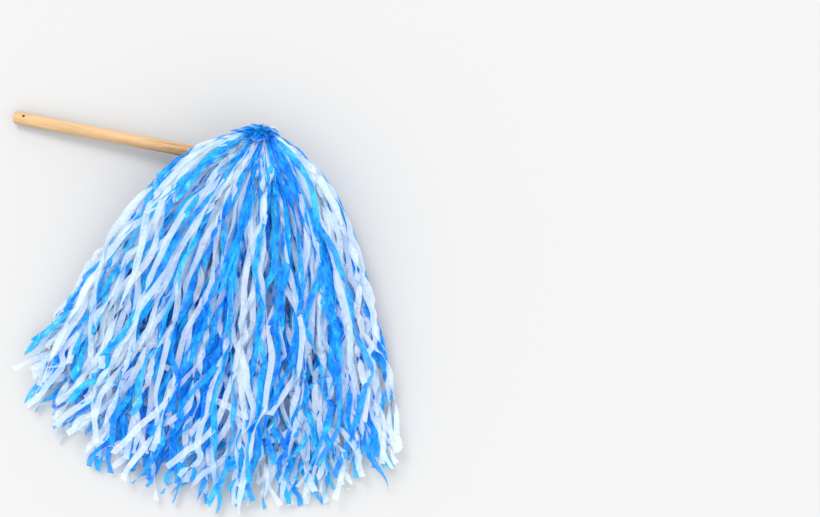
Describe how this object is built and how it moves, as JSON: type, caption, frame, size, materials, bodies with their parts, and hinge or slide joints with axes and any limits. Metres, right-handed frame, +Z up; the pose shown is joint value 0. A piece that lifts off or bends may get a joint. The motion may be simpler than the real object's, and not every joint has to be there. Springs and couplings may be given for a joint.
{
  "type": "cheer pom pom",
  "caption": "Cheer pom pom with a wooden dowel handle and long blue and white film streamers, lying with its fringe fanned out.",
  "frame": {"origin": "middle of the whole object's footprint, on the floor it lies on", "axes": "+X runs along the handle towards the fringe, +Y towards the gathered head (the strips fall towards -Y), +Z up from the floor"},
  "size_m": [0.4438, 0.3916, 0.074],
  "materials": {
    "dowel_wood": "satin",
    "cord_cotton": "matte",
    "film_blue": "satin",
    "film_white": "satin"
  },
  "bodies": {
    "tied_fringe": {"tie_cord": "cord_cotton", "gathered_head": "film_blue", "fringe_lower_1": "film_blue", "fringe_lower_2": "film_white", "fringe_lower_3": "film_blue", "fringe_lower_4": "film_white", "fringe_lower_5": "film_blue", "fringe_lower_6": "film_white", "fringe_lower_7": "film_blue", "fringe_lower_8": "film_white", "fringe_lower_9": "film_blue"},
    "handle": {"handle_dowel": "dowel_wood"},
    "sheet_1": {"fringe_upper_1": "film_white"},
    "sheet_2": {"fringe_upper_2": "film_blue"},
    "sheet_3": {"fringe_upper_3": "film_white"},
    "sheet_4": {"fringe_upper_4": "film_blue"},
    "sheet_5": {"fringe_upper_5": "film_white"},
    "sheet_6": {"fringe_upper_6": "film_blue"},
    "sheet_7": {"fringe_upper_7": "film_white"},
    "sheet_8": {"fringe_upper_8": "film_blue"},
    "sheet_9": {"fringe_upper_9": "film_white"}
  },
  "joints": [
    {"name": "handle_swivel", "type": "hinge", "parent": "tied_fringe", "child": "handle", "pos_m": [0.03565, 0.14437, 0.028], "axis": [0, 0, 1], "range_deg": [-30, 30]},
    {"name": "sheet_1_lift", "type": "hinge", "parent": "tied_fringe", "child": "sheet_1", "pos_m": [0.02127, 0.16444, 0.05], "axis": [-0.829, 0.5592, 0], "range_deg": [0, 30]},
    {"name": "sheet_2_lift", "type": "hinge", "parent": "tied_fringe", "child": "sheet_2", "pos_m": [0.02308, 0.16339, 0.05], "axis": [-0.8988, 0.4384, 0], "range_deg": [0, 30]},
    {"name": "sheet_3_lift", "type": "hinge", "parent": "tied_fringe", "child": "sheet_3", "pos_m": [0.02502, 0.16261, 0.05], "axis": [-0.9511, 0.309, 0], "range_deg": [0, 30]},
    {"name": "sheet_4_lift", "type": "hinge", "parent": "tied_fringe", "child": "sheet_4", "pos_m": [0.02705, 0.1621, 0.05], "axis": [-0.9848, 0.1736, 0], "range_deg": [0, 30]},
    {"name": "sheet_5_lift", "type": "hinge", "parent": "tied_fringe", "child": "sheet_5", "pos_m": [0.02913, 0.16188, 0.05], "axis": [-0.9994, 0.0349, 0], "range_deg": [0, 30]},
    {"name": "sheet_6_lift", "type": "hinge", "parent": "tied_fringe", "child": "sheet_6", "pos_m": [0.03122, 0.16196, 0.05], "axis": [-0.9945, -0.1045, 0], "range_deg": [0, 30]},
    {"name": "sheet_7_lift", "type": "hinge", "parent": "tied_fringe", "child": "sheet_7", "pos_m": [0.03328, 0.16232, 0.05], "axis": [-0.9703, -0.2419, 0], "range_deg": [0, 30]},
    {"name": "sheet_8_lift", "type": "hinge", "parent": "tied_fringe", "child": "sheet_8", "pos_m": [0.03527, 0.16297, 0.05], "axis": [-0.9272, -0.3746, 0], "range_deg": [0, 30]},
    {"name": "sheet_9_lift", "type": "hinge", "parent": "tied_fringe", "child": "sheet_9", "pos_m": [0.03716, 0.16388, 0.05], "axis": [-0.866, -0.5, 0], "range_deg": [0, 30]}
  ]
}
